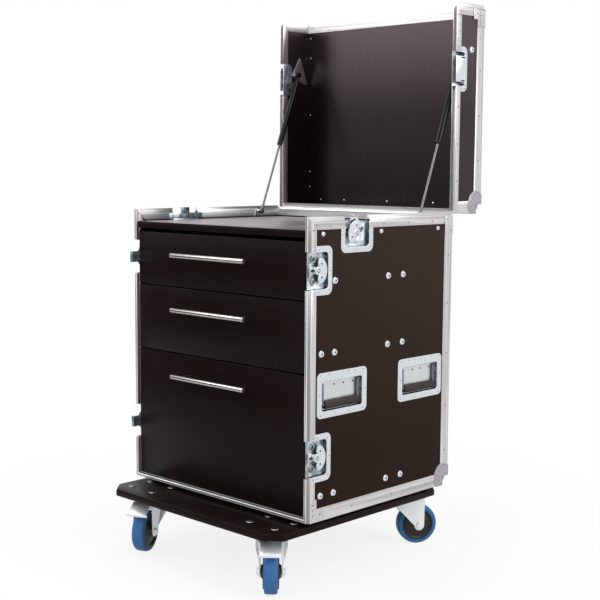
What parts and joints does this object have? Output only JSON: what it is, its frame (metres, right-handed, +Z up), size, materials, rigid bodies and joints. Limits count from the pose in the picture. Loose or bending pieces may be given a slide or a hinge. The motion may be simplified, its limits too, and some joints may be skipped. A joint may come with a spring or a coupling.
{
  "type": "road case with drawers",
  "caption": "Upright road case with stacked drawers behind an open front, a hinged tray lid held up by gas struts, recessed latches and handles, on a castor board.",
  "frame": {"origin": "on the floor under the middle of the whole part with its lid open", "axes": "+Z up, -Y out of the open drawer front, +X completes the right-handed frame, towards the right side as seen by someone who faces the drawers"},
  "size_m": [0.605, 0.739, 1.3375],
  "materials": {
    "phenolic_ply": "phenolic film, satin",
    "black_board": "phenolic film, satin",
    "drawer_film": "smooth film, satin",
    "aluminium": "extruded, anodised",
    "zinc_plate": "zinc plated steel, bright",
    "stainless": "brushed",
    "black_paint": "gloss black",
    "grip_rubber": "matte",
    "wheel_blue": "matte elastic tyre on a black hub"
  },
  "bodies": {
    "case": {"castor_board": "black_board", "floor_panel": "phenolic_ply", "left_side_panel": "phenolic_ply", "right_side_panel": "phenolic_ply", "rear_panel": "phenolic_ply", "top_board": "black_board", "front_profile": "aluminium", "top_rim": "aluminium", "edge_angles": "aluminium", "handle_dish_front_right": "zinc_plate", "handle_dish_rear_right": "zinc_plate", "handle_dish_front_left": "zinc_plate", "handle_dish_rear_left": "zinc_plate", "hinge_body_leaf": "stainless", "strut_foot_left": "zinc_plate", "strut_foot_right": "zinc_plate"},
    "lid": {"lid_shell": "phenolic_ply", "lid_profiles": "aluminium", "lid_edge_angles": "aluminium", "hinge_lid_leaf": "stainless", "strut_head_left": "zinc_plate", "strut_head_right": "zinc_plate"},
    "strut_rod_right": {"strut_rod_right": "stainless"},
    "strut_tube_right": {"strut_tube_right": "black_paint"},
    "strut_rod_left": {"strut_rod_left": "stainless"},
    "strut_tube_left": {"strut_tube_left": "black_paint"},
    "drawer_top": {"drawer_top": "drawer_film", "pull_top": "stainless"},
    "drawer_middle": {"drawer_middle": "drawer_film", "pull_middle": "stainless"},
    "drawer_bottom": {"drawer_bottom": "drawer_film", "pull_bottom": "stainless"},
    "latch_key_front_low_right": {"latch_key_front_low_right": "zinc_plate"},
    "latch_hook_front_low_right": {"latch_hook_front_low_right": "zinc_plate"},
    "latch_key_front_high_right": {"latch_key_front_high_right": "zinc_plate"},
    "latch_hook_front_high_right": {"latch_hook_front_high_right": "zinc_plate"},
    "latch_key_top_right": {"latch_key_top_right": "zinc_plate"},
    "latch_hook_top_right": {"latch_hook_top_right": "zinc_plate"},
    "latch_key_front_low_left": {"latch_key_front_low_left": "zinc_plate"},
    "latch_hook_front_low_left": {"latch_hook_front_low_left": "zinc_plate"},
    "latch_key_front_high_left": {"latch_key_front_high_left": "zinc_plate"},
    "latch_hook_front_high_left": {"latch_hook_front_high_left": "zinc_plate"},
    "latch_key_top_left": {"latch_key_top_left": "zinc_plate"},
    "latch_hook_top_left": {"latch_hook_top_left": "zinc_plate"},
    "handle_bail_front_right": {"handle_bail_front_right": "grip_rubber"},
    "handle_bail_rear_right": {"handle_bail_rear_right": "grip_rubber"},
    "handle_bail_front_left": {"handle_bail_front_left": "grip_rubber"},
    "handle_bail_rear_left": {"handle_bail_rear_left": "grip_rubber"},
    "castor_fork_front_right": {"castor_fork_front_right": "zinc_plate"},
    "castor_wheel_front_right": {"castor_wheel_front_right": "wheel_blue"},
    "brake_pedal_front_right": {"brake_pedal_front_right": "zinc_plate"},
    "castor_fork_front_left": {"castor_fork_front_left": "zinc_plate"},
    "castor_wheel_front_left": {"castor_wheel_front_left": "wheel_blue"},
    "brake_pedal_front_left": {"brake_pedal_front_left": "zinc_plate"},
    "castor_fork_rear_right": {"castor_fork_rear_right": "zinc_plate"},
    "castor_wheel_rear_right": {"castor_wheel_rear_right": "wheel_blue"},
    "castor_fork_rear_left": {"castor_fork_rear_left": "zinc_plate"},
    "castor_wheel_rear_left": {"castor_wheel_rear_left": "wheel_blue"}
  },
  "joints": [
    {"name": "lid_hinge", "type": "hinge", "parent": "case", "child": "lid", "pos_m": [0, 0.25446, 0.8258], "axis": [1, 0, 0], "range_deg": [0, 90]},
    {"name": "strut_swing_right", "type": "hinge", "parent": "case", "child": "strut_rod_right", "pos_m": [0.2715, 0.15776, 0.8213], "axis": [1, 0, 0], "range_deg": [0, 100.74]},
    {"name": "strut_slide_right", "type": "slide", "parent": "strut_rod_right", "child": "strut_tube_right", "axis": [0, 0.3539, 0.9353], "range_m": [-0.1231, 0]},
    {"name": "strut_swing_left", "type": "hinge", "parent": "case", "child": "strut_rod_left", "pos_m": [-0.2715, 0.15776, 0.8213], "axis": [1, 0, 0], "range_deg": [0, 100.74]},
    {"name": "strut_slide_left", "type": "slide", "parent": "strut_rod_left", "child": "strut_tube_left", "axis": [0, 0.3539, 0.9353], "range_m": [-0.1231, 0]},
    {"name": "drawer_slide_top", "type": "slide", "parent": "case", "child": "drawer_top", "axis": [0, -1, 0], "range_m": [0, 0.34]},
    {"name": "drawer_slide_middle", "type": "slide", "parent": "case", "child": "drawer_middle", "axis": [0, -1, 0], "range_m": [0, 0.34]},
    {"name": "drawer_slide_bottom", "type": "slide", "parent": "case", "child": "drawer_bottom", "axis": [0, -1, 0], "range_m": [0, 0.34]},
    {"name": "latch_turn_front_low_right", "type": "hinge", "parent": "case", "child": "latch_key_front_low_right", "pos_m": [0.2985, -0.22274, 0.3013], "axis": [-1, 0, 0], "range_deg": [0, 180]},
    {"name": "latch_throw_front_low_right", "type": "slide", "parent": "case", "child": "latch_hook_front_low_right", "axis": [0, -1, 0], "range_m": [0, 0.02401]},
    {"name": "latch_turn_front_high_right", "type": "hinge", "parent": "case", "child": "latch_key_front_high_right", "pos_m": [0.2985, -0.22274, 0.7163], "axis": [-1, 0, 0], "range_deg": [0, 180]},
    {"name": "latch_throw_front_high_right", "type": "slide", "parent": "case", "child": "latch_hook_front_high_right", "axis": [0, -1, 0], "range_m": [0, 0.02401]},
    {"name": "latch_turn_top_right", "type": "hinge", "parent": "case", "child": "latch_key_top_right", "pos_m": [0.2985, -0.09824, 0.7938], "axis": [-1, 0, 0], "range_deg": [-120, 60]},
    {"name": "latch_throw_top_right", "type": "slide", "parent": "case", "child": "latch_hook_top_right", "axis": [0, 0, 1], "range_m": [-0.01601, 0.00801]},
    {"name": "latch_turn_front_low_left", "type": "hinge", "parent": "case", "child": "latch_key_front_low_left", "pos_m": [-0.2985, -0.22274, 0.3013], "axis": [-1, 0, 0], "range_deg": [-180, 0]},
    {"name": "latch_throw_front_low_left", "type": "slide", "parent": "case", "child": "latch_hook_front_low_left", "axis": [0, -1, 0], "range_m": [-0.02401, 0]},
    {"name": "latch_turn_front_high_left", "type": "hinge", "parent": "case", "child": "latch_key_front_high_left", "pos_m": [-0.2985, -0.22274, 0.7163], "axis": [-1, 0, 0], "range_deg": [-180, 0]},
    {"name": "latch_throw_front_high_left", "type": "slide", "parent": "case", "child": "latch_hook_front_high_left", "axis": [0, -1, 0], "range_m": [-0.02401, 0]},
    {"name": "latch_turn_top_left", "type": "hinge", "parent": "case", "child": "latch_key_top_left", "pos_m": [-0.2985, -0.09824, 0.7938], "axis": [-1, 0, 0], "range_deg": [-120, 60]},
    {"name": "latch_throw_top_left", "type": "slide", "parent": "case", "child": "latch_hook_top_left", "axis": [0, 0, 1], "range_m": [-0.01601, 0.00801]},
    {"name": "handle_lift_front_right", "type": "hinge", "parent": "case", "child": "handle_bail_front_right", "pos_m": [0.2918, -0.14324, 0.4623], "axis": [0, -1, 0], "range_deg": [0, 90], "stiffness_Nm_per_rad": 0.2},
    {"name": "handle_lift_rear_right", "type": "hinge", "parent": "case", "child": "handle_bail_rear_right", "pos_m": [0.2918, 0.13576, 0.4623], "axis": [0, -1, 0], "range_deg": [0, 90], "stiffness_Nm_per_rad": 0.2},
    {"name": "handle_lift_front_left", "type": "hinge", "parent": "case", "child": "handle_bail_front_left", "pos_m": [-0.2918, -0.14324, 0.4623], "axis": [0, 1, 0], "range_deg": [0, 90], "stiffness_Nm_per_rad": 0.2},
    {"name": "handle_lift_rear_left", "type": "hinge", "parent": "case", "child": "handle_bail_rear_left", "pos_m": [-0.2918, 0.13576, 0.4623], "axis": [0, 1, 0], "range_deg": [0, 90], "stiffness_Nm_per_rad": 0.2},
    {"name": "castor_swivel_front_right", "type": "hinge", "parent": "case", "child": "castor_fork_front_right", "pos_m": [0.212, -0.27724, 0.1573], "axis": [0, 0, 1], "continuous": true},
    {"name": "castor_roll_front_right", "type": "hinge", "parent": "castor_fork_front_right", "child": "castor_wheel_front_right", "pos_m": [0.23979, -0.30601, 0.05], "axis": [0.7193, 0.6947, 0], "continuous": true},
    {"name": "brake_press_front_right", "type": "hinge", "parent": "castor_fork_front_right", "child": "brake_pedal_front_right", "pos_m": [0.24534, -0.31177, 0.11], "axis": [0.7193, 0.6947, 0], "range_deg": [0, 12]},
    {"name": "castor_swivel_front_left", "type": "hinge", "parent": "case", "child": "castor_fork_front_left", "pos_m": [-0.212, -0.27724, 0.1573], "axis": [0, 0, 1], "continuous": true},
    {"name": "castor_roll_front_left", "type": "hinge", "parent": "castor_fork_front_left", "child": "castor_wheel_front_left", "pos_m": [-0.19384, -0.31288, 0.05], "axis": [0.891, 0.454, 0], "continuous": true},
    {"name": "brake_press_front_left", "type": "hinge", "parent": "castor_fork_front_left", "child": "brake_pedal_front_left", "pos_m": [-0.19021, -0.32001, 0.11], "axis": [0.891, 0.454, 0], "range_deg": [0, 12]},
    {"name": "castor_swivel_rear_right", "type": "hinge", "parent": "case", "child": "castor_fork_rear_right", "pos_m": [0.212, 0.17976, 0.1573], "axis": [0, 0, 1], "continuous": true},
    {"name": "castor_roll_rear_right", "type": "hinge", "parent": "castor_fork_rear_right", "child": "castor_wheel_rear_right", "pos_m": [0.23379, 0.21331, 0.05], "axis": [-0.8387, 0.5446, 0], "continuous": true},
    {"name": "castor_swivel_rear_left", "type": "hinge", "parent": "case", "child": "castor_fork_rear_left", "pos_m": [-0.212, 0.17976, 0.1573], "axis": [0, 0, 1], "continuous": true},
    {"name": "castor_roll_rear_left", "type": "hinge", "parent": "castor_fork_rear_left", "child": "castor_wheel_rear_left", "pos_m": [-0.22235, 0.2184, 0.05], "axis": [-0.9659, -0.2588, 0], "continuous": true}
  ],
  "couplings": [
    {"joint": "strut_swing_right", "follows": "lid_hinge", "ratio": 1.1182},
    {"joint": "strut_slide_right", "follows": "lid_hinge", "m_per_rad": -0.078039},
    {"joint": "strut_swing_left", "follows": "lid_hinge", "ratio": 1.1182},
    {"joint": "strut_slide_left", "follows": "lid_hinge", "m_per_rad": -0.078039},
    {"joint": "latch_throw_front_low_right", "follows": "latch_turn_front_low_right", "m_per_rad": 0.0076394},
    {"joint": "latch_throw_front_high_right", "follows": "latch_turn_front_high_right", "m_per_rad": 0.0076394},
    {"joint": "latch_throw_top_right", "follows": "latch_turn_top_right", "m_per_rad": 0.0076394},
    {"joint": "latch_throw_front_low_left", "follows": "latch_turn_front_low_left", "m_per_rad": 0.0076394},
    {"joint": "latch_throw_front_high_left", "follows": "latch_turn_front_high_left", "m_per_rad": 0.0076394},
    {"joint": "latch_throw_top_left", "follows": "latch_turn_top_left", "m_per_rad": 0.0076394}
  ]
}
